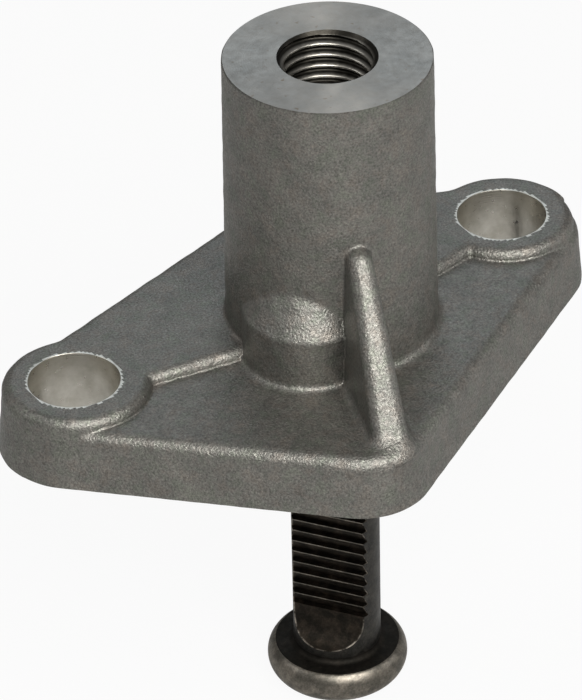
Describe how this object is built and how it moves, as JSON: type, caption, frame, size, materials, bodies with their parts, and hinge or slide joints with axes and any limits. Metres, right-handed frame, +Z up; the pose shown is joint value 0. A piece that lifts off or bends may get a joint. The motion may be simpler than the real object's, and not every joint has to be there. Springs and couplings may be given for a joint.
{
  "type": "ratchet chain tensioner",
  "caption": "Cast chain tensioner with a two-hole flange, a threaded tower and a toothed steel plunger held by a sprung pawl.",
  "frame": {"origin": "midway between the two mounting holes on the mounting face", "axes": "+X along the row of mounting holes, +Z up the tower, out of the threaded hole"},
  "size_m": [0.068, 0.0427, 0.0767],
  "materials": {
    "cast_housing": "rough as-cast grey, machined bright on the tower's top and in the holes",
    "dark_steel": "dark oxidised steel, worn brown on the edges",
    "spring_steel": "drawn wire",
    "plain_steel": "ground"
  },
  "bodies": {
    "housing": {"housing": "cast_housing", "spring_guide": "plain_steel", "pawl_pin": "plain_steel", "pawl_spring": "spring_steel"},
    "plunger": {"plunger": "dark_steel", "main_spring": "spring_steel"},
    "pawl": {"pawl": "dark_steel"}
  },
  "joints": [
    {"name": "plunger_slide", "type": "slide", "parent": "housing", "child": "plunger", "axis": [0, 0, 1], "range_m": [0, 0.0207], "stiffness_N_per_m": 900, "springref_m": -0.03, "deforming": ["main_spring"]},
    {"name": "pawl_swing", "type": "hinge", "parent": "housing", "child": "pawl", "pos_m": [-0.00348, -0.00816, 0.00878], "axis": [-0.5878, 0.809, 0], "range_deg": [-6.5, 3], "stiffness_Nm_per_rad": 0.004, "springref_deg": -34.38, "deforming": ["pawl_spring"]}
  ]
}
